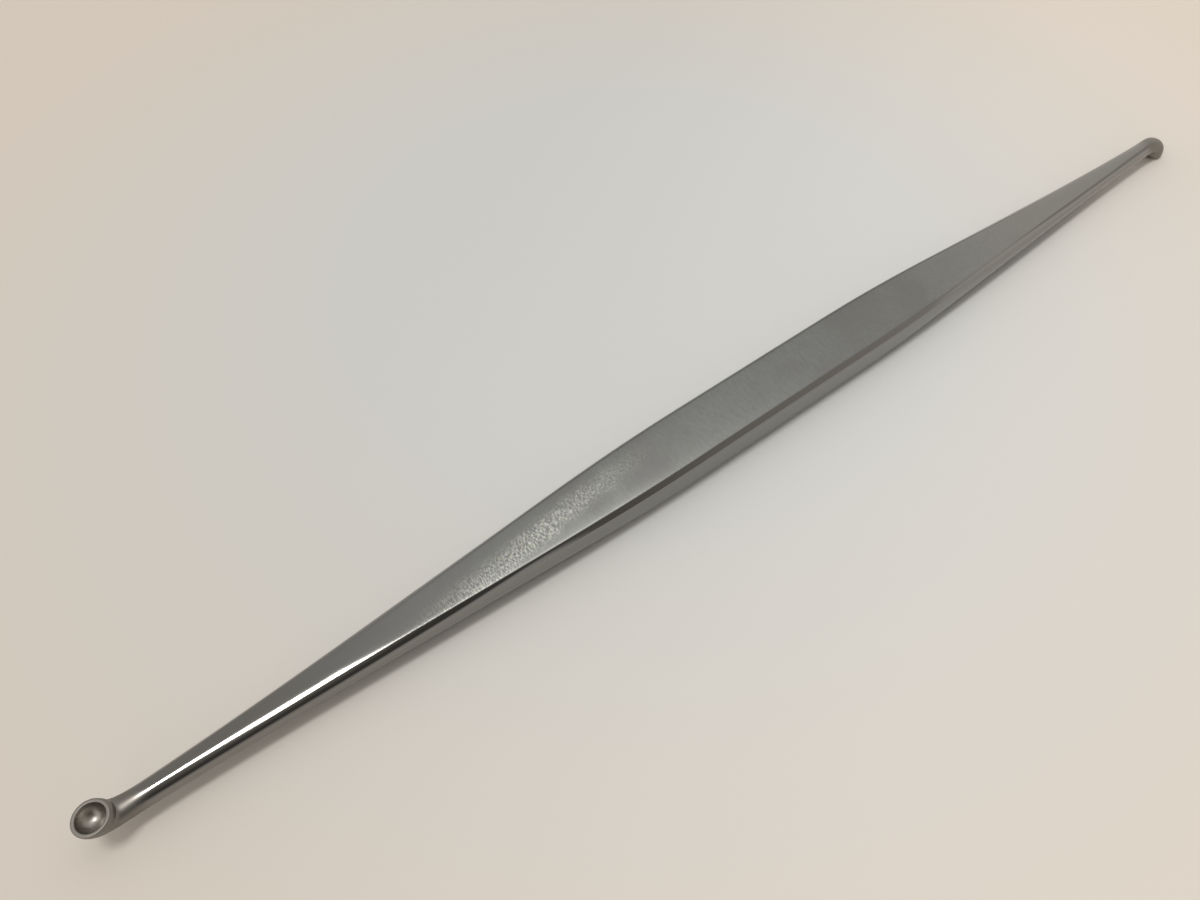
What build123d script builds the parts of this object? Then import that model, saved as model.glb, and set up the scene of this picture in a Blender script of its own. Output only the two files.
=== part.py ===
"""Double-ended bone curette, forged and ground from one bar of stainless steel.

The bar lies along X. Its middle is a flat-faced handle, which tapers both ways into round
necks. Each neck bends into a small round cup: the cup at -X opens upwards, the one at +X
opens downwards, so half a turn about the Y axis puts the curette onto itself. It lies on
the flat underside of the handle, at Z = 0. All sizes are in millimetres.
"""
import os
from math import cos, hypot, pi, radians, sin, sqrt

from build123d import *

# Overall size
overall_length = 140.0
handle_width = 6.5
handle_thickness = 3.94
neck_diameter = 1.82

# How far in from the sides of the handle the edges of its flats are
flat_inset = 0.5

# Shoulders in the middle of the handle: how far they and the sides stand out from a plain
# arc, and the height of their ridge as a share of the corner's
shoulder_rise = 0.2
side_rise = 0.14
ridge_share = 0.6

# The middle stretch of the handle where each size stays full
shoulder_land = 20.0
width_land = 29.0
thickness_land = 12.8
flat_land = 19.4
crown_land = 76.0

# How far from the tip each taper ends, negative where it would end past the tip
shoulder_taper_stop = 35.0
width_taper_stop = -3.0
thickness_taper_stop = 7.1
flat_taper_stop = 9.6
crown_taper_stop = 4.0

# Cups
rim_diameter = 2.84
rim_height = 1.67
bowl_diameter = 2.22
bowl_depth = 1.1
rim_bevel = 0.06
bowl_bevel = 0.06

# Bend from the neck into the cup
bend_length = 4.8
throat_reach = 2.6
throat_flare = 0.74
throat_angle = 49.0
back_reach = 3.0
back_drop = 1.42

# How many steps of the loft there are in one taper and in one bend
taper_steps = 10
bend_steps = 5

# Sizes that follow from those above
half_length = overall_length / 2
plain_half_width = handle_width / 2 - side_rise
flat_half_width = handle_width / 2 - flat_inset
axis_height = handle_thickness / 2
neck_radius = neck_diameter / 2
neck_corner = neck_radius / sqrt(2)
rim_radius = rim_diameter / 2
bowl_radius = bowl_diameter / 2
ball_radius = (bowl_radius**2 + bowl_depth**2) / (2 * bowl_depth)
cup_reach = half_length - rim_radius
lip_height = rim_height - rim_bevel
taper_start = thickness_land / 2
bend_start = half_length - bend_length
half_turn = 180


def eased(x, land, stop, full, slim):
    """Size at x: full on the land, slim from the stop outwards, with a cosine curve between."""
    start = land / 2
    end = half_length - stop
    share = min(max((x - start) / (end - start), 0), 1)
    return slim + (full - slim) * (1 + cos(pi * share)) / 2


def blended_corner_height(half_width, half_height, corner):
    """Height of a section's corner where its top arc runs into its side arc without an edge."""
    spread = half_width - half_height
    reach = (half_height + corner) * (half_width - corner)
    return (sqrt(spread**2 + 4 * reach) - spread) / 2


def handle_sizes(x):
    """Half width and half height of the section at x, shoulders left out, and its corner."""
    half_width = eased(x, width_land, width_taper_stop, plain_half_width, neck_radius)
    half_height = eased(x, thickness_land, thickness_taper_stop, axis_height, neck_radius)
    corner = eased(x, flat_land, flat_taper_stop, flat_half_width, neck_corner)
    crown = eased(x, crown_land, crown_taper_stop, 0, neck_radius - neck_corner)
    blended = blended_corner_height(half_width, half_height, corner)
    return half_width, half_height, corner, max(half_height - crown, blended)


def bezier(points, share):
    """Point of a cubic curve in the XZ plane, as a pair."""
    rest = 1 - share
    weights = (rest**3, 3 * rest**2 * share, 3 * rest * share**2, share**3)
    return tuple(sum(w * p[i] for w, p in zip(weights, points)) for i in (0, 1))


def bow(start, middle, end):
    """Edge through three points: an arc, or a line where the flat has no crown."""
    if middle[1] == start[1]:
        return Line(start, end, mode=Mode.PRIVATE)
    return ThreePointArc(start, middle, end, mode=Mode.PRIVATE)


def side_reach(half_width, corner, corner_height, height):
    """How far out the arc through a section's two corners of one side is, at a height."""
    bulge = half_width - corner
    radius = (corner_height**2 + bulge**2) / (2 * bulge)
    return half_width - radius + sqrt(radius**2 - height**2)


def draw_section(origin, upward, half_width, half_height, corner, corner_height, shoulders=0):
    """Face in the plane of Y and the upward way, with a share of the shoulders' full rise.

    It has a flat or crown at the top and the foot, and a shoulder, a side and a shoulder between.
    """
    ridge_height = corner_height * ridge_share
    slope_height = (corner_height + ridge_height) / 2
    sizes = (half_width, corner, corner_height)
    ridge = side_reach(*sizes, ridge_height) + shoulder_rise * shoulders
    slope = side_reach(*sizes, slope_height) + shoulder_rise * shoulders / 2
    side = half_width + side_rise * shoulders
    edges = [
        bow((-corner, corner_height), (0, half_height), (corner, corner_height)),
        bow((corner, corner_height), (slope, slope_height), (ridge, ridge_height)),
        bow((ridge, ridge_height), (side, 0), (ridge, -ridge_height)),
        bow((ridge, -ridge_height), (slope, -slope_height), (corner, -corner_height)),
        bow((corner, -corner_height), (0, -half_height), (-corner, -corner_height)),
        bow((-corner, -corner_height), (-slope, -slope_height), (-ridge, -ridge_height)),
        bow((-ridge, -ridge_height), (-side, 0), (-ridge, ridge_height)),
        bow((-ridge, ridge_height), (-slope, slope_height), (-corner, corner_height)),
    ]
    normal = (upward[1], 0, -upward[0])
    plane = Plane(origin=(origin[0], 0, origin[1]), x_dir=(0, 1, 0), z_dir=normal)
    return plane * Face(Wire(edges))


def draw_handle(x):
    """Section of the handle or a neck at x."""
    shoulders = eased(x, shoulder_land, shoulder_taper_stop, 1, 0)
    return draw_section((x, 0), (0, 1), *handle_sizes(x), shoulders)


def draw_bend(share):
    """Section of the bend, from the neck at share 0 to the lip at share 1."""
    neck_half_width, neck_half_height, *_ = handle_sizes(bend_start)
    flare_x = throat_flare * cos(radians(throat_angle))
    flare_z = throat_flare * sin(radians(throat_angle))
    throat_end = cup_reach - rim_radius
    throat = bezier(
        (
            (bend_start, neck_half_height),
            (bend_start + throat_reach, neck_half_height),
            (throat_end - flare_x, lip_height - flare_z),
            (throat_end, lip_height),
        ),
        share,
    )
    back = bezier(
        (
            (bend_start, -neck_half_height),
            (bend_start + back_reach, -neck_half_height),
            (half_length, lip_height - back_drop),
            (half_length, lip_height),
        ),
        share,
    )
    half_height = hypot(throat[0] - back[0], throat[1] - back[1]) / 2
    middle = ((throat[0] + back[0]) / 2, (throat[1] + back[1]) / 2)
    upward = ((throat[0] - middle[0]) / half_height, (throat[1] - middle[1]) / half_height)
    spread = (1 - cos(pi * share)) / 2
    half_width = neck_half_width + (rim_radius - neck_half_width) * spread
    corner = half_width / sqrt(2)
    corner_height = blended_corner_height(half_width, half_height, corner)
    return draw_section(middle, upward, half_width, half_height, corner, corner_height)


def draw_rim():
    """Section at the top of the lip, drawn in by its bevel."""
    radius = rim_radius - rim_bevel
    corner = radius / sqrt(2)
    return draw_section((cup_reach, rim_height), (-1, 0), radius, radius, corner, corner)


taper_length = bend_start - taper_start
taper_places = [taper_start + taper_length * step / taper_steps for step in range(taper_steps + 1)]
bend_shares = [step / bend_steps for step in range(1, bend_steps + 1)]

# One end, drawn about the handle's axis with its cup opening upwards
with BuildPart() as one_end:
    # The taper, the neck and the bend, as far as the lip of the cup
    taper = [draw_handle(x) for x in taper_places]
    bend = [draw_bend(share) for share in bend_shares]
    loft(taper + bend)

    # The cup: a bevelled lip, and a ball sunk into its rim
    loft([bend[-1], draw_rim()], ruled=True)
    with Locations((cup_reach, 0, rim_height + ball_radius - bowl_depth)):
        Sphere(ball_radius, mode=Mode.SUBTRACT)

    # The broken edge of the bowl
    rim = one_end.faces().filter_by(GeomType.PLANE).filter_by(Axis.Z)[0]
    chamfer(rim.inner_wires()[0].edge(), bowl_bevel)

# The flat middle of the handle, and an end each way with its cup turned over
with BuildPart() as curette:
    extrude(draw_handle(0), taper_start, both=True)
    add(one_end.part.rotate(Axis.X, half_turn))
    add(one_end.part.rotate(Axis.Z, half_turn))

# The finished curette, set down on its underside
finished = Pos(0, 0, axis_height) * curette.part
finished.label = "curette"
os.makedirs("parts", exist_ok=True)
export_step(finished, "parts/curette.step")
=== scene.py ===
"""Looks of a double-ended bone curette of satin stainless steel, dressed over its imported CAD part.

The curette lies along X on a pale table. Its cup at -X opens upwards and its cup at +X opens
downwards. The steel is one closed surface: sections with flats, shoulders and sides and with
softened edges are carried along the handle and necks, round each bend, over the lip and down into
the bowl. Sizes are in millimetres inside the classes and become metres where a mesh, lamp or
camera is made.
"""

import logging
import math
from dataclasses import dataclass, field, fields
from enum import Enum
from typing import Union

import bpy
import numpy as np
from mathutils import Matrix, Vector


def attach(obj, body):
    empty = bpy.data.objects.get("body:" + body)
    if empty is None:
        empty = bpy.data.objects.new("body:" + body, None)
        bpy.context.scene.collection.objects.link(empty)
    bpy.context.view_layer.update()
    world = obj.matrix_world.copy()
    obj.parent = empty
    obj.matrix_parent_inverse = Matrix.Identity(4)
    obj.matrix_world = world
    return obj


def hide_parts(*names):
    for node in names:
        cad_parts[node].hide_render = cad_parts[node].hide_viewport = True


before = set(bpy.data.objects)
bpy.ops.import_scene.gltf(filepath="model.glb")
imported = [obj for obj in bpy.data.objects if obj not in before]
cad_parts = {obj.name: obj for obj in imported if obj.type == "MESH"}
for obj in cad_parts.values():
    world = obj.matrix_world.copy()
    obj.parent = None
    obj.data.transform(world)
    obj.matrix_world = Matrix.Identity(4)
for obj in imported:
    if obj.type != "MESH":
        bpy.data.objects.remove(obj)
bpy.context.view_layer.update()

MILLIMETRE = 0.001
ROUND_CORNER = 1 / math.sqrt(2)  # Corner of a round section, as a share of its radius
LEAST_CROWN = 1e-6  # Keeps the radius of a flat's arc finite
NOISE_MEAN = 0.5

Range = tuple[float, float]
Triple = tuple[float, float, float]
Colour = tuple[float, float, float, float]
Socket = bpy.types.NodeSocket
Settings = dict[str, object]
Inputs = dict[Union[int, str], object]

logger = logging.getLogger("curette")


class LampShape(Enum):
    """Outline of a lamp."""

    PANEL = "RECTANGLE"
    OVAL = "ELLIPSE"


class Pattern(Enum):
    """A noise: its features per millimetre along X, Y and Z, its finer layers and their weight."""

    ACROSS_THE_FLATS = ((8.0, 1.4, 1.4), 3.0, 0.6)
    ALONG_THE_ROUNDS = ((0.5, 5.0, 5.0), 2.0, 0.5)
    SCRATCHES = ((11.0, 3.2, 3.2), 3.0, 0.6)
    # Colours that tint the painted glint highlight.
    TINTS = ((8.8, 2.56, 2.56), 1.0, 0.5)
    PITS = ((5.0, 5.0, 5.0), 2.0, 0.5)
    SMUDGES = ((0.16, 0.16, 0.16), 3.0, 0.5)
    SPECKS = ((1.1, 1.1, 1.1), 2.0, 0.5)
    WAVER = ((0.5, 0.5, 0.5), 3.0, 0.5)


def placed(name: str, data: bpy.types.ID) -> bpy.types.Object:
    """Adds an object to the scene."""
    made = bpy.data.objects.new(name, data)
    bpy.context.scene.collection.objects.link(made)
    return made


def cosine_ease(x: np.ndarray, land: float, stop: float, full: float, slim: float) -> np.ndarray:
    """Size at x: full out to the end of the land, slim from the stop, half a cosine wave between.

    Args:
        x: Places along the axis, of either sign.
        land: Half the length over which the size is full.
        stop: Distance from the middle at which the size is slim.
        full: Size at the middle.
        slim: Size at the end.

    Returns:
        The size at each place.
    """
    share = np.clip((np.abs(x) - land) / (stop - land), 0, 1)
    return slim + (full - slim) * (1 + np.cos(np.pi * share)) / 2


def cubic_curve(points: list[Range], share: np.ndarray) -> np.ndarray:
    """Points of a cubic Bezier curve: each control point times its Bernstein weight, added up.

    Args:
        points: The four control points.
        share: How far along the curve each wanted point is, from 0 to 1.

    Returns:
        One point a row.
    """
    rest = 1 - share
    weights = np.stack([rest**3, 3 * rest**2 * share, 3 * rest * share**2, share**3], axis=1)
    return weights @ np.array(points)


def blended_corner_height(
    half_width: np.ndarray, half_height: np.ndarray, corner: np.ndarray
) -> np.ndarray:
    """Corner height at which a section's top arc runs into its side arc without an edge.

    It is the positive root c of c^2 + (w - h) c - (h + a) (w - a) = 0, where w, h and a are the
    half width, the half height and the corner's distance from the middle.

    Args:
        half_width: Half widths of the sections.
        half_height: Half heights of the sections.
        corner: Distances of the corners from the middle.

    Returns:
        The height of each corner.
    """
    spread = half_width - half_height
    reach = (half_height + corner) * (half_width - corner)
    return (np.sqrt(spread**2 + 4 * reach) - spread) / 2


@dataclass(frozen=True)
class Sections:
    """A row of sections: flats or crowns above and below, two shoulders and a side between.

    Args:
        half_width: Half widths, shoulders left out.
        half_height: Half heights.
        corner: Distances from the middle to the corners where a flat meets a shoulder.
        corner_height: Heights of those corners.
        shoulders: Share of the shoulders' full rise in each section.
        shoulder_rise: How far the ridge of a full shoulder stands out from a plain arc.
        side_rise: How far the side below it stands out.
        ridge_share: Height of the ridge as a share of the corner's.
        margin: Share of a flat, at its edge, that polishing has rolled off.
        margin_drop: How far a sharp flat's edge is rolled off.
        sharp_turn: Turn at a corner from which it counts as fully sharp.
        edge_reach: How far from an edge it still counts as close, in millimetres.
        edge_round: How far the softening of an edge reaches, as a number of passes.
        quarter: Number of steps in a quarter of an outline.
        side_tenths: Tenths of a quarter's steps that the shoulder takes, and so does the side.
    """

    half_width: np.ndarray
    half_height: np.ndarray
    corner: np.ndarray
    corner_height: np.ndarray
    shoulders: Union[np.ndarray, float] = 0.0
    shoulder_rise: float = 0.27
    side_rise: float = 0.16
    ridge_share: float = 0.66
    margin: float = 0.35
    margin_drop: float = 0.07
    sharp_turn: float = math.radians(60)
    edge_reach: float = 0.12
    edge_round: int = 2
    quarter: int = 24
    side_tenths: int = 3

    def side_reach(self, height: np.ndarray) -> np.ndarray:
        """Distance out to the plain side arc at a height: w - r + sqrt(r^2 - z^2).

        The arc passes through both corners of one side, so r = (c^2 + b^2) / 2b, where c is the
        corner's height and b is the half width less the corner's distance.

        Args:
            height: Heights, one row a section.

        Returns:
            The distances.
        """
        bulge = (self.half_width - self.corner)[:, None]
        radius = (self.corner_height[:, None] ** 2 + bulge**2) / (2 * bulge)
        return self.half_width[:, None] - radius + np.sqrt(radius**2 - height**2)

    def sharpness(self) -> np.ndarray:
        """How sharp each section's corners are, from 0 on a round to 1 at the sharp turn."""
        crown = self.half_height - self.corner_height
        bulge = self.half_width - self.corner
        top_turn = 2 * np.arctan2(crown, self.corner)
        side_turn = np.pi / 2 - 2 * np.arctan2(bulge, self.corner_height)
        return np.clip((side_turn - top_turn) / self.sharp_turn, 0, 1)[:, None]

    def outlines(self) -> tuple[np.ndarray, np.ndarray, np.ndarray]:
        """Points round every section, clockwise from the top, seen from -X.

        A quarter runs over half the top arc, the shoulder and half the side, with its points
        crowded at their ends by a smooth step. The top is z = h - r + sqrt(r^2 - y^2) less the
        margin's drop. A full shoulder is the straight line from the corner to the ridge, and a
        part of one lies between that line and the side arc. The side stands out from its arc by
        the two rises, blended with the square of the height. The other quarters are mirror
        images, and averaging with both neighbours softens the edges.

        Returns:
            The points as (section, point, 2), how flat-topped each point is, and how close it is
            to a sharp edge, both from 0 to 1.
        """
        height, corner, corner_height = (
            size[:, None] for size in (self.half_height, self.corner, self.corner_height)
        )
        sharp = self.sharpness()
        shoulders = np.broadcast_to(self.shoulders, self.half_width.shape)[:, None]
        side_steps = self.quarter * self.side_tenths // 10
        top_steps = self.quarter - 2 * side_steps
        steps = [np.linspace(0, 1, count + 1) for count in (top_steps, side_steps, side_steps)]
        over, down, under = (step**2 * (3 - 2 * step) for step in steps)

        crown = np.maximum(height - corner_height, LEAST_CROWN)
        top_radius = (corner**2 + crown**2) / (2 * crown)
        top_y = corner * over
        roll = np.clip((over - 1 + self.margin) / self.margin, 0, 1) ** 2
        top_z = height - top_radius + np.sqrt(top_radius**2 - top_y**2)
        top_z = top_z - self.margin_drop * sharp * roll
        edge_z = top_z[:, -1:]
        ridge_height = corner_height * self.ridge_share
        share = down[1:]
        shoulder_z = edge_z + (ridge_height - edge_z) * share
        plain_z = corner_height + (ridge_height - corner_height) * share
        ridge_y = self.side_reach(ridge_height) + self.shoulder_rise
        plain_y = self.side_reach(plain_z)
        shoulder_y = plain_y + (corner + (ridge_y - corner) * share - plain_y) * shoulders
        side_z = ridge_height * (1 - under[1:])
        rise = self.side_rise + (self.shoulder_rise - self.side_rise) * (side_z / ridge_height) ** 2
        side_y = self.side_reach(side_z) + rise * shoulders
        out = np.concatenate([top_y, shoulder_y, side_y], axis=1)
        up = np.concatenate([top_z, shoulder_z, side_z], axis=1)
        points = np.stack([out, up], axis=-1)

        flat = np.concatenate([np.ones(top_steps + 1), np.zeros(2 * side_steps)]) * sharp
        reach = np.hypot(points[..., 0] - corner, points[..., 1] - edge_z)
        edge = sharp * np.exp(-((reach / self.edge_reach) ** 2))
        below = points[:, :0:-1] * np.array([1, -1])
        ring = np.concatenate([points[:, :-1], below, -points[:, :-1], -below], axis=1)
        for _ in range(self.edge_round):
            mean = (np.roll(ring, 1, axis=1) + 2 * ring + np.roll(ring, -1, axis=1)) / 4
            ring = ring + (mean - ring) * sharp[..., None]
        flats = np.concatenate([flat[:, :-1], flat[:, :0:-1]] * 2, axis=1)
        edges = np.concatenate([edge[:, :-1], edge[:, :0:-1]] * 2, axis=1)
        return ring, flats, edges


@dataclass
class Surface:
    """Rings of points in order along the steel, with the marks that the finish reads.

    Args:
        points: Places as (ring, point, 3), in millimetres.
        flat: How flat-topped each point is.
        edge: How close each point is to a sharp edge.
        bowl: 1 inside a bowl, 0 elsewhere.
    """

    points: np.ndarray
    flat: np.ndarray
    edge: np.ndarray
    bowl: np.ndarray

    @classmethod
    def joined(cls, parts: list["Surface"]) -> "Surface":
        """Surfaces one after the other as one."""
        columns = ([getattr(part, each.name) for part in parts] for each in fields(cls))
        return cls(*(np.concatenate(column) for column in columns))

    def turned_over(self) -> "Surface":
        """The surface with its height reversed and its rings still in order from the top."""
        count = self.points.shape[1]
        order = (count // 2 - np.arange(count)) % count
        places, *marks = (getattr(self, each.name)[:, order] for each in fields(self))
        return Surface(places * np.array([1, 1, -1]), *marks)

    def facing_back(self) -> "Surface":
        """The surface mirrored to the -X end, with its rings in the opposite order."""
        places, *marks = (getattr(self, each.name)[::-1] for each in fields(self))
        return Surface(places * np.array([-1, 1, 1]), *marks)


@dataclass
class Handle:
    """The flat-faced handle and the two necks that it tapers into.

    Args:
        half_width: Half the width at the middle, shoulders left out.
        half_height: Half the thickness at the middle.
        flat_half_width: Half the width of the ground flats at the middle.
        flat_crown: How far the flats are domed at the middle, from polishing.
        neck_radius: Radius of a neck where it meets its bend.
        width_range: Distances from the middle between which the width tapers.
        height_range: Distances between which the thickness tapers.
        flat_range: Distances between which the flats narrow.
        crown_range: Distances between which the flats become round.
        shoulder_range: Distances between which the shoulders fade.
        bend_start: Distance from the middle to the start of a bend.
        steps: Number of rings along the handle.
    """

    half_width: float = 3.11
    half_height: float = 1.97
    flat_half_width: float = 2.84
    flat_crown: float = 0.05
    neck_radius: float = 0.91
    width_range: Range = (14.5, 73.0)
    height_range: Range = (6.4, 62.9)
    flat_range: Range = (11.0, 62.0)
    crown_range: Range = (38.0, 66.0)
    shoulder_range: Range = (10.0, 35.0)
    bend_start: float = 65.2
    steps: int = 521

    def sections(self, x: np.ndarray) -> Sections:
        """Sections at places along the axis, each size eased from the middle to the neck."""
        round_corner = self.neck_radius * ROUND_CORNER
        width = cosine_ease(x, *self.width_range, self.half_width, self.neck_radius)
        height = cosine_ease(x, *self.height_range, self.half_height, self.neck_radius)
        corner = cosine_ease(x, *self.flat_range, self.flat_half_width, round_corner)
        crown = cosine_ease(x, *self.crown_range, self.flat_crown, self.neck_radius - round_corner)
        blended = blended_corner_height(width, height, corner)
        shoulders = cosine_ease(x, *self.shoulder_range, 1, 0)
        return Sections(width, height, corner, np.maximum(height - crown, blended), shoulders)

    def surface(self) -> Surface:
        """The handle and necks: sections stood upright at even steps along X.

        Returns:
            Rings from one bend to the other.
        """
        x = np.linspace(-self.bend_start, self.bend_start, self.steps)
        ring, flat, edge = self.sections(x).outlines()
        along = np.broadcast_to(x[:, None], ring.shape[:2])
        points = np.stack([along, ring[..., 0], ring[..., 1]], axis=-1)
        return Surface(points, flat, edge, np.zeros(flat.shape))


@dataclass
class CupEnd:
    """One bend and its cup, drawn about the handle's axis at the +X end with the cup opening up.

    Args:
        reach: Distance from the middle of the handle to the cup's axis.
        rim_radius: Outer radius of the rim.
        rim_height: Height of the rim above the handle's axis.
        lip_round: Radius that softens the outer edge of the rim.
        bowl_radius: Radius of the bowl at the rim.
        bowl_depth: Depth of the bowl.
        bowl_round: Radius that softens the edge of the bowl.
        rim_seam: Width of the narrow rings that hold the rim level at its two edges.
        throat_reach: How far the throat's curve keeps to the neck.
        throat_flare: How far the throat's curve keeps to the slope at its end.
        throat_slope: Angle of that slope.
        back_reach: How far the back's curve keeps to the neck.
        back_drop: How far the back's curve keeps upright below the lip.
        bend_steps: Number of rings round the bend.
        round_steps: Number of rings over the lip, and over the edge of the bowl.
        bowl_steps: Number of steps down the bowl.
    """

    reach: float = 68.58
    rim_radius: float = 1.42
    rim_height: float = 1.67
    lip_round: float = 0.11
    bowl_radius: float = 1.11
    bowl_depth: float = 1.1
    bowl_round: float = 0.09
    rim_seam: float = 0.02
    throat_reach: float = 2.6
    throat_flare: float = 0.74
    throat_slope: float = math.radians(49)
    back_reach: float = 3.0
    back_drop: float = 1.42
    bend_steps: int = 56
    round_steps: int = 6
    bowl_steps: int = 22

    def bend(self, handle: Handle) -> Surface:
        """The bend: sections between a throat and a back curve, both cubic, opening to the lip.

        A section's middle is halfway between the two curves, its height is their distance and its
        half width grows from the neck's to the rim's by half a cosine wave.

        Args:
            handle: The handle that the bend goes on from.

        Returns:
            Rings from the neck, itself left out, to the lip.
        """
        neck = handle.sections(np.array([handle.bend_start]))
        neck_width, neck_height = float(neck.half_width[0]), float(neck.half_height[0])
        lip_height = self.rim_height - self.lip_round
        start = handle.bend_start
        inner, outer = self.reach - self.rim_radius, self.reach + self.rim_radius
        flare_x = self.throat_flare * math.cos(self.throat_slope)
        flare_z = self.throat_flare * math.sin(self.throat_slope)
        share = np.linspace(0, 1, self.bend_steps + 1)[1:]
        throat_points = [
            (start, neck_height),
            (start + self.throat_reach, neck_height),
            (inner - flare_x, lip_height - flare_z),
            (inner, lip_height),
        ]
        back_points = [
            (start, -neck_height),
            (start + self.back_reach, -neck_height),
            (outer, lip_height - self.back_drop),
            (outer, lip_height),
        ]
        throat, back = (cubic_curve(points, share) for points in (throat_points, back_points))
        middle = (throat + back) / 2
        half_height = np.linalg.norm(throat - back, axis=1) / 2
        upward = (throat - middle) / half_height[:, None]
        half_width = neck_width + (self.rim_radius - neck_width) * (1 - np.cos(np.pi * share)) / 2
        corner = half_width * ROUND_CORNER
        corner_height = blended_corner_height(half_width, half_height, corner)
        ring = Sections(half_width, half_height, corner, corner_height).outlines()[0]
        x = middle[:, :1] + ring[..., 1] * upward[:, :1]
        z = middle[:, 1:] + ring[..., 1] * upward[:, 1:]
        none = np.zeros(x.shape)
        return Surface(np.stack([x, ring[..., 0], z], axis=-1), none, none, none)

    def rim_profile(self) -> tuple[np.ndarray, np.ndarray, np.ndarray]:
        """Radius and height of the lip, the rim and the bowl, from the outside to the bottom.

        The lip and the bowl's edge are quarter rounds, the rim between them is level, and the
        bowl is part of a ball of radius (r^2 + d^2) / 2d, for a bowl of radius r and depth d.

        Returns:
            Radii, heights, and 1 for the points inside the bowl.
        """
        ball = (self.bowl_radius**2 + self.bowl_depth**2) / (2 * self.bowl_depth)
        ball_height = self.rim_height + ball - self.bowl_depth
        turn = np.linspace(0, np.pi / 2, self.round_steps + 1)[1:]
        lip_radius = self.rim_radius - self.lip_round * (1 - np.cos(turn))
        lip_height = self.rim_height - self.lip_round * (1 - np.sin(turn))
        edge_radius = self.bowl_radius + self.bowl_round * (1 - np.sin(turn))
        edge_height = self.rim_height - self.bowl_round * (1 - np.cos(turn))
        land = self.bowl_radius + self.bowl_round
        rim = np.array([lip_radius[-1] - self.rim_seam, land + self.rim_seam, land])
        level = np.full(len(rim), self.rim_height)
        mouth = math.asin((ball_height - edge_height[-1]) / ball)
        sink = np.linspace(mouth, np.pi / 2, self.bowl_steps + 1)[1:-1]
        bowl_height = ball_height - ball * np.sin(sink)
        radius = np.concatenate([lip_radius, rim, edge_radius, ball * np.cos(sink)])
        height = np.concatenate([lip_height, level, edge_height, bowl_height])
        outside = np.zeros(len(lip_radius) + len(rim))
        inside = np.concatenate([outside, np.linspace(0, 1, len(turn)), np.ones(len(sink))])
        return radius, height, inside

    def mouth(self) -> Surface:
        """The lip, rim and bowl: circles about the cup's axis that follow the rim profile.

        Returns:
            Rings from the lip to just short of the bottom of the bowl.
        """
        radius, height, inside = self.rim_profile()
        circle = Sections(*(np.array([size]) for size in (1.0, 1.0, ROUND_CORNER, ROUND_CORNER)))
        ring = circle.outlines()[0][0]
        x = self.reach - radius[:, None] * ring[None, :, 1]
        y = radius[:, None] * ring[None, :, 0]
        z = np.broadcast_to(height[:, None], x.shape)
        bowl = np.broadcast_to(inside[:, None], x.shape)
        none = np.zeros(x.shape)
        return Surface(np.stack([x, y, z], axis=-1), none, none, bowl)

    def surface(self, handle: Handle) -> Surface:
        """The bend and the mouth as one."""
        return Surface.joined([self.bend(handle), self.mouth()])

    def bottom(self) -> Triple:
        """The lowest point of the bowl."""
        return self.reach, 0.0, self.rim_height - self.bowl_depth


Number = Union[float, "Value"]


class Value:
    """A number that varies over a surface. Python's operators on it add Math nodes."""

    def __init__(self, shader: "Shader", socket: Socket) -> None:
        """Keeps the socket and the shader that it belongs to."""
        self.shader = shader
        self.socket = socket

    def math(self, operation: str, *operands: Number) -> "Value":
        """Adds one Math node.

        Args:
            operation: Blender's name of the operation.
            operands: Its one, two or three numbers, in order.

        Returns:
            The result.
        """
        settings = {"operation": operation}
        made = self.shader.node("ShaderNodeMath", settings, dict(enumerate(operands)))
        return Value(self.shader, made.outputs[0])

    def __add__(self, other: Number) -> "Value":
        """self + other."""
        return self.math("ADD", self, other)

    __radd__ = __add__

    def __sub__(self, other: Number) -> "Value":
        """self - other."""
        return self.math("SUBTRACT", self, other)

    def __rsub__(self, other: Number) -> "Value":
        """other - self."""
        return self.math("SUBTRACT", other, self)

    def __mul__(self, other: Number) -> "Value":
        """self * other."""
        return self.math("MULTIPLY", self, other)

    __rmul__ = __mul__

    def __truediv__(self, other: Number) -> "Value":
        """self / other."""
        return self.math("DIVIDE", self, other)

    def __neg__(self) -> "Value":
        """self with its sign turned."""
        return self.math("MULTIPLY", self, -1.0)

    def __abs__(self) -> "Value":
        """self without its sign."""
        return self.math("ABSOLUTE", self)

    def ramp(self, low: float, high: float) -> "Value":
        """0 up to low, 1 from high, and a smooth step between.

        Args:
            low: Value at which the step begins.
            high: Value at which it ends.

        Returns:
            The step.
        """
        settings = {"interpolation_type": "SMOOTHSTEP"}
        made = self.shader.node("ShaderNodeMapRange", settings, {0: self, 1: low, 2: high})
        return Value(self.shader, made.outputs[0])


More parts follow.
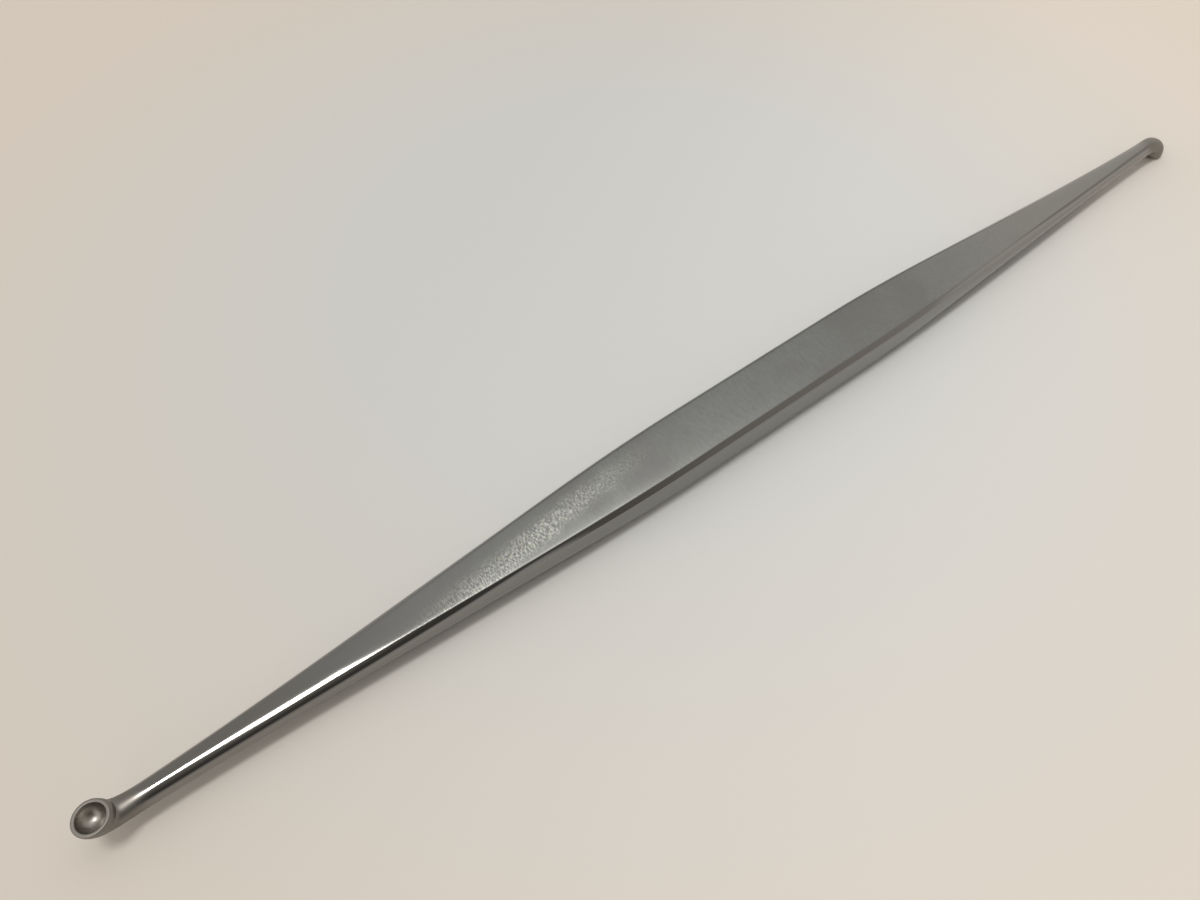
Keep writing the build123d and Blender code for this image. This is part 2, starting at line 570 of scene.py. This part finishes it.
class Shader:
    """The nodes of one material or world."""

    def __init__(self, owner: Union[bpy.types.Material, bpy.types.World]) -> None:
        """Starts the owner's node tree afresh."""
        owner.use_nodes = True
        self.tree = owner.node_tree
        self.tree.nodes.clear()

    def node(self, kind: str, settings: Settings, inputs: Inputs) -> bpy.types.Node:
        """Adds a node.

        Args:
            kind: Blender's name of the node.
            settings: The node's own settings, set first.
            inputs: Numbers, colours, values or sockets for its inputs, by place or name.

        Returns:
            The node.
        """
        made = self.tree.nodes.new(kind)
        for name, setting in settings.items():
            setattr(made, name, setting)
        for key, value in inputs.items():
            source = value.socket if isinstance(value, Value) else value
            if isinstance(source, bpy.types.NodeSocket):
                self.tree.links.new(source, made.inputs[key])
            else:
                made.inputs[key].default_value = source
        return made

    def coordinates(self, kind: str) -> Socket:
        """Texture coordinates, by Blender's name of them."""
        return self.node("ShaderNodeTexCoord", {}, {}).outputs[kind]

    def parts(self, point: Socket) -> tuple[Value, ...]:
        """The three coordinates of a point."""
        made = self.node("ShaderNodeSeparateXYZ", {}, {0: point})
        return tuple(Value(self, output) for output in made.outputs)

    def vector_math(self, operation: str, point: Socket, other: Triple) -> bpy.types.Node:
        """Adds one Vector Math node, for a point and a fixed vector."""
        return self.node("ShaderNodeVectorMath", {"operation": operation}, {0: point, 1: other})

    def stretched(self, point: Socket, stretch: Triple) -> Socket:
        """A point with each coordinate times its own number."""
        return self.vector_math("MULTIPLY", point, stretch).outputs["Vector"]

    def distance(self, point: Socket, place: Triple) -> Value:
        """How far a point is from a fixed place."""
        return Value(self, self.vector_math("DISTANCE", point, place).outputs["Value"])

    def along(self, point: Socket, way: Triple) -> Value:
        """How far along a way a point is: their dot product."""
        return Value(self, self.vector_math("DOT_PRODUCT", point, way).outputs["Value"])

    def pattern(self, point: Socket, pattern: Pattern) -> bpy.types.Node:
        """Adds the noise of a pattern.

        Args:
            point: Where to read it, in millimetres.
            pattern: Which one.

        Returns:
            The node, which has both a number and a colour.
        """
        stretch, layers, weight = pattern.value
        place = self.stretched(point, stretch)
        inputs = {"Vector": place, "Scale": 1.0, "Detail": layers, "Roughness": weight}
        return self.node("ShaderNodeTexNoise", {}, inputs)

    def noise(self, point: Socket, pattern: Pattern) -> Value:
        """A pattern as a number from 0 to 1."""
        return Value(self, self.pattern(point, pattern).outputs["Fac"])

    def mark(self, name: str) -> Value:
        """A mark stored on the mesh's points."""
        made = self.node("ShaderNodeAttribute", {"attribute_name": name}, {})
        return Value(self, made.outputs["Fac"])

    def blend(
        self,
        factor: Number,
        first: Union[Colour, Socket],
        second: Union[Colour, Socket],
        mode: str = "MIX",
    ) -> Socket:
        """Two colours mixed.

        Args:
            factor: How much of the second there is.
            first: A colour, or the socket of one.
            second: A colour, or the socket of one.
            mode: How they are mixed.

        Returns:
            The mixed colour.
        """
        settings = {"data_type": "RGBA", "blend_type": mode}
        return self.node("ShaderNodeMix", settings, {0: factor, 6: first, 7: second}).outputs[2]

    def finish(self, shaded: bpy.types.Node) -> None:
        """Joins the last shader node to the output."""
        is_world = shaded.bl_idname == "ShaderNodeBackground"
        kind = "ShaderNodeOutputWorld" if is_world else "ShaderNodeOutputMaterial"
        self.node(kind, {}, {"Surface": shaded.outputs[0]})


def opaque(red: float, green: float, blue: float) -> Colour:
    """A colour as Blender's sockets take it."""
    return red, green, blue, 1.0


DULL_STEEL = opaque(0.23, 0.227, 0.217)


@dataclass(frozen=True)
class Kind:
    """One kind of steel surface.

    Args:
        colour: Its colour.
        roughness: Its roughness.
    """

    colour: Colour
    roughness: float


@dataclass(frozen=True)
class Cover:
    """Something that lies over the plain steel.

    Args:
        colour: Its colour.
        share: How much of that colour shows at most.
        fade: Where it fades, in terms of the pattern, place or distance that it follows.
    """

    colour: Colour
    share: float
    fade: Range


@dataclass(frozen=True)
class Layers:
    """What the steel's finish reads at each point.

    Args:
        point: The point, in millimetres.
        y: Its place across the handle.
        flat: How flat-topped the steel is.
        edge: How close a sharp edge is.
        bowl: 1 inside a bowl.
        satin: 1 outside a cup and on its rim.
        band: How strong the scratched band is, which carries the painted glint highlight.
        across: The grain across the flats.
        along: The grain along the rounds.
        scratch: The scratches.
        pits: The fine pits.
        smudge: 1 inside a smudge.
    """

    point: Socket
    y: Value
    flat: Value
    edge: Value
    bowl: Value
    satin: Value
    band: Value
    across: Value
    along: Value
    scratch: Value
    pits: Value
    smudge: Value


@dataclass(frozen=True)
class SatinSteel:
    """Satin stainless steel: flats ground across, rounds polished along, smudges and worn edges,
    with a painted glint highlight and a painted dark edge line.

    Args:
        slot: The record's material slot; not used.
        polished: The sides and necks.
        ground: The flats.
        cup: The cups outside and on their rims.
        scooped: The bowls.
        smudges: Large smudges on the flats, which follow their pattern.
        specks: Small dull specks, which follow theirs.
        lines: The duller lines of the grain across the flats.
        painted_glints: Painted highlight: a near-white colour laid on the band's scratches, in place
            of the lamp's sparkle.
        painted_edge_shade: Painted shade: a darker line along the edge at +Y, which follows the
            place across.
        nicked: The nick, which follows the distance from its middle.
        along_spread: How much the grain along the steel changes the roughness.
        smudge_spread: How much a smudge on a flat does.
        pit_spread: How much the pits of a bowl do.
        band_rise: How much rougher the scratched band is.
        edge_fall: How much smoother a worn edge is.
        across_height: Height of the grain across the flats, in millimetres.
        glint_height: Height of the scratches in the band.
        along_height: Height of the grain along the rounds.
        satin_height: Height of the fine pits of the cups.
        satin_range: Distances from the middle between which the necks' polish becomes satin.
        tint_share: How much tint the painted glint highlight takes.
        glint_start: Where along the flats the scratched band fades in, in millimetres.
        glint_end: Where it fades out.
        glint_slant: Line along its middle, as a place across at X = 0 and a slope.
        glint_half_width: Half the width of the band.
        glint_fade: Shares of that half width between which it fades.
        glint_waver: How far its line wavers.
        nick: Place of the small dark nick on an edge, in millimetres.
    """

    slot: str = "stainless_steel"
    polished: Kind = Kind(opaque(0.268, 0.264, 0.254), 0.11)
    ground: Kind = Kind(opaque(0.3, 0.305, 0.291), 0.27)
    cup: Kind = Kind(opaque(0.235, 0.222, 0.203), 0.43)
    scooped: Kind = Kind(opaque(0.38, 0.355, 0.325), 0.34)
    smudges: Cover = Cover(DULL_STEEL, 0.6, (0.42, 0.68))
    specks: Cover = Cover(DULL_STEEL, 0.15, (0.62, 0.78))
    lines: Cover = Cover(DULL_STEEL, 0.45, (0.38, 0.66))
    # Painted highlight: near-white glint colour for the scratched band.
    painted_glints: Cover = Cover(opaque(0.78, 0.79, 0.72), 0.95, (0.46, 0.58))
    # Painted shade: a dark line along the sharp edge at +Y.
    painted_edge_shade: Cover = Cover(opaque(0.09, 0.087, 0.08), 0.6, (0.0, 0.5))
    nicked: Cover = Cover(opaque(0.03, 0.03, 0.03), 1.0, (0.06, 0.1))
    along_spread: float = 0.06
    smudge_spread: float = 0.08
    pit_spread: float = 0.3
    band_rise: float = 0.08
    edge_fall: float = 0.03
    across_height: float = 0.0013
    glint_height: float = 0.011
    along_height: float = 0.0005
    satin_height: float = 0.0012
    satin_range: Range = (64.0, 66.4)
    tint_share: float = 0.75
    glint_start: Range = (-47.0, -33.0)
    glint_end: Range = (-31.0, -13.0)
    glint_slant: Range = (2.6, 0.1)
    glint_half_width: float = 1.7
    glint_fade: Range = (0.1, 1.0)
    glint_waver: float = 1.4
    nick: Triple = (6.3, -2.8, 3.9)

    def layers(self, shader: Shader) -> Layers:
        """What the finish reads: places, the mesh's marks, the patterns and what follows from them.

        The band of scratches, which carries the painted glint highlight, lies along a slanting line
        that wavers. It fades with the distance from that line and at both ends.

        Args:
            shader: The material's nodes.

        Returns:
            The layers.
        """
        point = shader.stretched(shader.coordinates("Object"), (1 / MILLIMETRE,) * 3)
        x, y, _ = shader.parts(point)
        # The edge mark serves both the worn edges' roughness and the painted dark edge line.
        flat, edge, bowl = (shader.mark(name) for name in ("ground_flat", "worn_edge_and_painted_shade", "bowl"))
        across = shader.noise(point, Pattern.ACROSS_THE_FLATS)
        along = shader.noise(point, Pattern.ALONG_THE_ROUNDS)
        scratch = shader.noise(point, Pattern.SCRATCHES)
        pits = shader.noise(point, Pattern.PITS)
        smudge = shader.noise(point, Pattern.SMUDGES).ramp(*self.smudges.fade)
        waver = (shader.noise(point, Pattern.WAVER) - NOISE_MEAN) * self.glint_waver

        satin = abs(x).ramp(*self.satin_range) * (1 - bowl)
        place_across, slope = self.glint_slant
        off_line = abs(y - x * slope - place_across + waver)
        band = 1 - (off_line / self.glint_half_width).ramp(*self.glint_fade)
        band = band * x.ramp(*self.glint_start) * (1 - x.ramp(*self.glint_end)) * flat
        return Layers(
            point, y, flat, edge, bowl, satin, band, across, along, scratch, pits, smudge
        )

    def kinds(self, at: Layers) -> tuple[tuple[Value, Kind], ...]:
        """The kinds of steel that take over from the polished one, each with its share."""
        return (at.flat, self.ground), (at.satin, self.cup), (at.bowl, self.scooped)

    def colour(self, shader: Shader, at: Layers) -> Socket:
        """The colour: polished steel, with everything else laid over it in turn, a painted glint
        highlight and a painted dark edge line among it.

        Args:
            shader: The material's nodes.
            at: What the finish reads.

        Returns:
            The colour.
        """
        speck = shader.noise(at.point, Pattern.SPECKS).ramp(*self.specks.fade)
        smudged = at.flat * at.smudge * self.smudges.share + speck * self.specks.share
        lined = at.flat * at.across.ramp(*self.lines.fade) * self.lines.share
        # Painted highlight: a tinted near-white colour on the band's scratches, in place of the
        # lamp's sparkle.
        painted_glint_share = at.band * at.scratch.ramp(*self.painted_glints.fade) * self.painted_glints.share
        tints = shader.pattern(at.point, Pattern.TINTS).outputs["Color"]
        tinted = shader.blend(self.tint_share, self.painted_glints.colour, tints, "OVERLAY")
        # Painted shade: the edge mark, toward +Y, darkens a line along that edge.
        painted_edge_shade_share = at.edge * at.y.ramp(*self.painted_edge_shade.fade) * self.painted_edge_shade.share
        off_nick = shader.distance(at.point, self.nick).ramp(*self.nicked.fade)
        colour = self.polished.colour
        for share, kind in self.kinds(at):
            colour = shader.blend(share, colour, kind.colour)
        for share, over in (
            (smudged, DULL_STEEL),
            (lined, self.lines.colour),
            (painted_glint_share, tinted),
            (painted_edge_shade_share, self.painted_edge_shade.colour),
            ((1 - off_nick) * self.nicked.share, self.nicked.colour),
        ):
            colour = shader.blend(share, colour, over)
        return colour

    def roughness(self, at: Layers) -> Value:
        """The roughness: that of the rounds, and what each other kind of steel adds to it."""
        plain = self.polished.roughness
        rough: Number = plain
        for share, kind in self.kinds(at):
            rough = share * (kind.roughness - plain) + rough
        rough = rough + (at.along - NOISE_MEAN) * self.along_spread
        rough = rough + at.flat * (at.smudge - NOISE_MEAN) * self.smudge_spread
        rough = rough + at.bowl * (at.pits - NOISE_MEAN) * self.pit_spread
        return rough + at.band * self.band_rise - at.edge * self.edge_fall

    def normal(self, shader: Shader, at: Layers) -> Socket:
        """The normal, bent by the height of the grains, scratches and pits.

        Args:
            shader: The material's nodes.
            at: What the finish reads.

        Returns:
            The normal.
        """
        rounded = (1 - at.flat) * (1 - at.satin) * (1 - at.bowl)
        height = at.flat * (self.across_height * at.across)
        height = height + at.band * (self.glint_height * at.scratch)
        height = height + rounded * (self.along_height * at.along)
        height = height + (at.satin + at.bowl) * (self.satin_height * at.pits)
        inputs = {"Strength": 1.0, "Distance": MILLIMETRE, "Height": height}
        return shader.node("ShaderNodeBump", {}, inputs).outputs["Normal"]

    def material(self) -> bpy.types.Material:
        """The steel as a material, which reads Object coordinates and the marks on the mesh."""
        material = bpy.data.materials.new("satin_stainless_steel")
        shader = Shader(material)
        layers = self.layers(shader)
        inputs = {
            "Base Color": self.colour(shader, layers),
            "Metallic": 1.0,
            "Roughness": self.roughness(layers),
            "Normal": self.normal(shader, layers),
        }
        shader.finish(shader.node("ShaderNodeBsdfPrincipled", {}, inputs))
        return material


@dataclass
class Curette:
    """The whole curette: one handle, two cup ends and the steel they are made of.

    Args:
        handle: The handle and its necks.
        cup_end: The bend and cup that each end has.
        steel: The finish.
    """

    handle: Handle = field(default_factory=Handle)
    cup_end: CupEnd = field(default_factory=CupEnd)
    steel: SatinSteel = field(default_factory=SatinSteel)

    def surface(self) -> Surface:
        """The rings of the whole curette, from the bowl at -X to the bowl at +X."""
        end = self.cup_end.surface(self.handle)
        return Surface.joined([end.facing_back(), self.handle.surface(), end.turned_over()])

    def mesh(self) -> bpy.types.Mesh:
        """The closed mesh: four-sided faces between rings and a fan at the bottom of each bowl.

        Returns:
            A smooth-shaded mesh in metres that stands on Z = 0 and carries the finish's marks.
        """
        surface = self.surface()
        rings, count = surface.points.shape[:2]
        x, y, z = self.cup_end.bottom()
        bottoms = np.array([(-x, y, z), (x, y, -z)])
        points = np.concatenate([surface.points.reshape(-1, 3), bottoms])
        points = (points + np.array([0, 0, self.handle.half_height])) * MILLIMETRE

        here = np.arange(count)
        after = (here + 1) % count
        start = np.arange(rings - 1)[:, None] * count
        below = start + count
        quads = np.stack([start + here, below + here, below + after, start + after], axis=-1)
        near_pole, far_pole = rings * count, rings * count + 1
        last = (rings - 1) * count
        near_fan = np.stack([np.full(count, near_pole), here, after], axis=-1)
        far_fan = np.stack([last + here, np.full(count, far_pole), last + after], axis=-1)
        faces = quads.reshape(-1, 4).tolist() + near_fan.tolist() + far_fan.tolist()

        mesh = bpy.data.meshes.new("curette_steel")
        mesh.from_pydata(points.tolist(), [], faces)
        mesh.polygons.foreach_set("use_smooth", np.ones(len(faces), dtype=bool))
        for name, (values, at_poles) in {
            "ground_flat": (surface.flat, 0.0),
            # The edge mark: worn edges' roughness and the painted dark edge line.
            "worn_edge_and_painted_shade": (surface.edge, 0.0),
            "bowl": (surface.bowl, 1.0),
        }.items():
            layer = mesh.attributes.new(name, "FLOAT", "POINT")
            numbers = np.append(values.ravel(), [at_poles] * 2).astype(np.float32)
            layer.data.foreach_set("value", numbers)
        mesh.update()
        return mesh

    def build(self) -> bpy.types.Object:
        """Makes the steel piece, dresses it and has it stand for the CAD solid.

        Returns:
            The piece.
        """
        mesh = self.mesh()
        mesh.materials.append(self.steel.material())
        piece = placed("curette_steel", mesh)
        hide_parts("curette")
        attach(piece, "root")
        logger.info("%s: %d faces", piece.name, len(mesh.polygons))
        return piece


@dataclass
class Table:
    """The pale table that the curette lies on, with painted light that makes it brighter toward one
    side.

    Args:
        half_side: Half the length of a side, in metres.
        cool: Colour at the middle of the view.
        warm: Colour toward the corners.
        view_centre: The middle of the view on the table, in metres.
        warm_reach: Distances from there between which the colour warms.
        gain: Painted light: how much brighter the top is painted on its brighter side.
        painted_light_way: The way in which the painted light grows brighter.
        painted_light_reach: How far that way the painted light begins and stops growing, in metres.
        roughness: Roughness of the top.
        shine: How strong its reflection is, as Blender's specular level.
    """

    half_side: float = 1.5
    cool: Colour = opaque(0.68, 0.694, 0.687)
    warm: Colour = opaque(0.74, 0.672, 0.6)
    view_centre: Triple = (0.003, 0.024, 0.0)
    warm_reach: Range = (0.02, 0.1)
    gain: Colour = opaque(1.157, 1.156, 1.163)
    painted_light_way: Triple = (0.538, -0.843, 0.0)
    painted_light_reach: Range = (-0.049, 0.034)
    roughness: float = 0.9
    shine: float = 0.1

    def build(self) -> bpy.types.Object:
        """Makes the table top, four corners of a square.

        Returns:
            The table top.
        """
        side = self.half_side
        corners = np.array([(-side, -side, 0), (side, -side, 0), (side, side, 0), (-side, side, 0)])
        mesh = bpy.data.meshes.new("table_top")
        mesh.from_pydata(corners.tolist(), [], [(0, 1, 2, 3)])
        material = bpy.data.materials.new("pale_table")
        shader = Shader(material)
        point = shader.coordinates("Object")
        warmth = shader.distance(point, self.view_centre).ramp(*self.warm_reach)
        # Painted light: the colour is multiplied brighter toward one side.
        brighter = shader.along(point, self.painted_light_way).ramp(*self.painted_light_reach)
        colour = shader.blend(warmth, self.cool, self.warm)
        colour = shader.blend(brighter, colour, self.gain, "MULTIPLY")
        inputs = {
            "Base Color": colour,
            "Roughness": self.roughness,
            "Specular IOR Level": self.shine,
        }
        shader.finish(shader.node("ShaderNodeBsdfPrincipled", {}, inputs))
        mesh.materials.append(material)
        table = placed("table_top", mesh)
        return table


@dataclass(frozen=True)
class Lamp:
    """A soft lamp that faces the curette, with its length as near to X as that lets it.

    Args:
        name: Name of the lamp.
        direction: Which way it is from the origin.
        size: Length and width, in metres.
        power: Power in watts.
        shape: Its outline.
        distance: How far away it is, in metres.
        colour: Colour of the light.
    """

    name: str
    direction: Triple
    size: Range
    power: float
    shape: LampShape = LampShape.PANEL
    distance: float = 1.5
    colour: Triple = (1.0, 0.985, 0.955)

    def build(self) -> bpy.types.Object:
        """Hangs the lamp, with its own Z pointing away from the origin.

        Returns:
            The lamp.
        """
        light = bpy.data.lights.new(self.name, "AREA")
        light.shape = self.shape.value
        light.size, light.size_y = self.size
        light.energy = self.power
        light.color = self.colour
        away = Vector(self.direction).normalized()
        along = (Vector((1, 0, 0)) - away * away.x).normalized()
        turn = Matrix((along, away.cross(along), away)).transposed().to_4x4()
        lamp = placed(self.name, light)
        lamp.matrix_world = Matrix.Translation(away * self.distance) @ turn
        return lamp


@dataclass
class Room:
    """The quiet room round the table: lit walls and ceiling, dim on the camera's side.

    Args:
        wall: Strength above the near neck.
        ceiling: Strengths further toward +X, each with where along X it takes over.
        window: Strength far toward -X.
        glow: How much brighter the ceiling is beyond the end of its lamp.
        glow_x: Where along X that glow fades in and out.
        glow_lean: Lean at which it fades in and out.
        dim: Strength of the dim stretch on the -X side.
        dim_right: Its strength on the +X side.
        dim_near: How much brighter it begins beside the ceiling lamp.
        dim_start: Lean from upright toward -Y between which the dim stretch begins.
        dim_end: Lean at which it ends toward -X.
        dim_reach: How much further it goes above the handle.
        dim_rise: How much of that it loses toward +X.
        dim_blur: How softly it ends.
        window_x: How far toward -X the window begins and the dim stretch stops.
        reach_x: Where along X it comes to go further.
        rise_x: Where it loses that again.
        right_x: Where its strength changes to that of the +X side.
        near_x: Where along X its brighter beginning fades out.
        near_lean: Lean at which that beginning fades out.
        far_end_x: Where the ceiling grows warmer toward +X.
        near_end_x: How far toward -X it does.
        light_colour: Colour of the walls and ceiling.
        end_colour: Colour of the ceiling toward both ends.
        dim_colour: Colour of the dim stretch.
        backdrop: Strength that the camera sees past the table.
        lamps: The lamps.
    """

    wall: float = 0.47
    ceiling: tuple[tuple[float, Range], ...] = (
        (0.63, (-0.15, 0.1)),
        (0.56, (0.54, 0.62)),
        (0.82, (0.66, 0.82)),
    )
    window: float = 0.9
    glow: float = 0.6
    glow_x: tuple[float, float, float, float] = (0.08, 0.2, 0.27, 0.6)
    glow_lean: tuple[float, float, float, float] = (-0.55, -0.3, 0.0, 0.12)
    dim: float = 0.1
    dim_right: float = 0.53
    dim_near: float = 0.16
    dim_start: Range = (math.radians(4), math.radians(12))
    dim_end: float = math.radians(70)
    dim_reach: float = math.radians(25)
    dim_rise: float = math.radians(52)
    dim_blur: float = math.radians(5)
    window_x: Range = (0.3, 0.6)
    reach_x: Range = (0.1, 0.28)
    rise_x: Range = (0.7, 0.82)
    right_x: Range = (0.0, 0.85)
    near_x: Range = (0.0, 0.3)
    near_lean: Range = (0.25, 0.8)
    far_end_x: Range = (0.6, 0.8)
    near_end_x: Range = (-0.02, 0.12)
    light_colour: Colour = opaque(1.0, 0.99, 0.97)
    end_colour: Colour = opaque(1.0, 0.955, 0.885)
    dim_colour: Colour = opaque(1.05, 0.97, 0.89)
    backdrop: float = 0.9
    lamps: tuple[Lamp, ...] = (
        Lamp("ceiling_lamp", (-0.215, 0.055, 0.97), (0.5, 0.34), 6.2, LampShape.OVAL),
        Lamp("ceiling_panel", (0.1, 0.05, 0.99), (0.7, 0.3), 0.6),
    )

    def brightness(self, shader: Shader) -> tuple[Value, Value, Value]:
        """How bright the room is in each direction, where it is dim and where it is warmer.

        The lean of a direction is the arctangent of -y over z. The walls grow brighter toward both
        ends by smooth steps, the glow is a product of smooth steps in x and lean, and between two
        leans the dim stretch takes their place.

        Args:
            shader: The world's nodes.

        Returns:
            The strength, 1 in the dim stretch, and 1 toward both ends.
        """
        x, y, z = shader.parts(shader.coordinates("Generated"))
        walls = (-x).ramp(*self.window_x) * (self.window - self.wall) + self.wall
        last = self.wall
        for strength, place in self.ceiling:
            walls = walls + x.ramp(*place) * (strength - last)
            last = strength
        lean = y.math("ARCTAN2", -y, z)
        glow = x.ramp(*self.glow_x[:2]) * (1 - x.ramp(*self.glow_x[2:]))
        glow = glow * lean.ramp(*self.glow_lean[:2]) * (1 - lean.ramp(*self.glow_lean[2:]))
        walls = walls + glow * self.glow
        end = self.dim_end + x.ramp(*self.reach_x) * self.dim_reach
        past = (lean - end + x.ramp(*self.rise_x) * self.dim_rise) / self.dim_blur
        stretch = lean.ramp(*self.dim_start) * (1 - past.ramp(-1.0, 1.0))
        stretch = stretch * (1 - (-x).ramp(*self.window_x))
        near = (1 - lean.ramp(*self.near_lean)) * (1 - x.ramp(*self.near_x))
        dim = x.ramp(*self.right_x) * (self.dim_right - self.dim) + self.dim
        dim = dim + near * self.dim_near
        ends = x.ramp(*self.far_end_x) + (-x).ramp(*self.near_end_x)
        return walls + stretch * (dim - walls), stretch, ends

    def build(self) -> None:
        """Sets the world and hangs the lamps."""
        world = bpy.data.worlds.new("room")
        bpy.context.scene.world = world
        shader = Shader(world)
        strength, stretch, ends = self.brightness(shader)
        path = shader.node("ShaderNodeLightPath", {}, {})
        seen = Value(shader, path.outputs["Is Camera Ray"])
        strength = strength + seen * (self.backdrop - strength)
        colour = shader.blend(ends * (1 - seen), self.light_colour, self.end_colour)
        colour = shader.blend(stretch * (1 - seen), colour, self.dim_colour)
        inputs = {"Color": colour, "Strength": strength}
        shader.finish(shader.node("ShaderNodeBackground", {}, inputs))
        for lamp in self.lamps:
            lamp.build()


@dataclass
class PhotoCamera:
    """The camera, where the photograph was taken from.

    Args:
        place: Where it is, in metres.
        heading: Its turn about Z, from looking along +Y.
        tilt: How far it looks down.
        focal_share: Focal length over the width of the picture.
        sensor: Width of the sensor, in millimetres.
        nearest: Nearest distance that it draws, in metres.
    """

    place: Triple = (-0.049207, -0.035901, 0.072557)
    heading: float = -0.654
    tilt: float = 0.945
    focal_share: float = 0.75
    sensor: float = 36.0
    nearest: float = 0.001

    def build(self) -> bpy.types.Object:
        """Sets the camera up: its axes are right, up and back, worked out from its two angles."""
        level, drop = math.cos(self.tilt), math.sin(self.tilt)
        ahead, aside = math.cos(self.heading), math.sin(self.heading)
        forward = Vector((-aside * level, ahead * level, -drop))
        right = Vector((ahead, aside, 0))
        upward = right.cross(forward)
        lens = bpy.data.cameras.new("photo_camera")
        lens.sensor_fit = "HORIZONTAL"
        lens.sensor_width = self.sensor
        lens.lens = self.sensor * self.focal_share
        lens.clip_start = self.nearest
        camera = placed("photo_camera", lens)
        turn = Matrix((right, upward, -forward)).transposed().to_4x4()
        camera.matrix_world = Matrix.Translation(self.place) @ turn
        bpy.context.scene.camera = camera
        return camera


def main() -> None:
    """Builds the camera, the room, the table and the curette, in that order."""
    logging.basicConfig(level=logging.INFO, format="%(name)s: %(message)s")
    for part in (PhotoCamera(), Room(), Table(), Curette()):
        part.build()
    bpy.context.scene.view_settings.view_transform = "Standard"


if __name__ == "__main__":
    main()
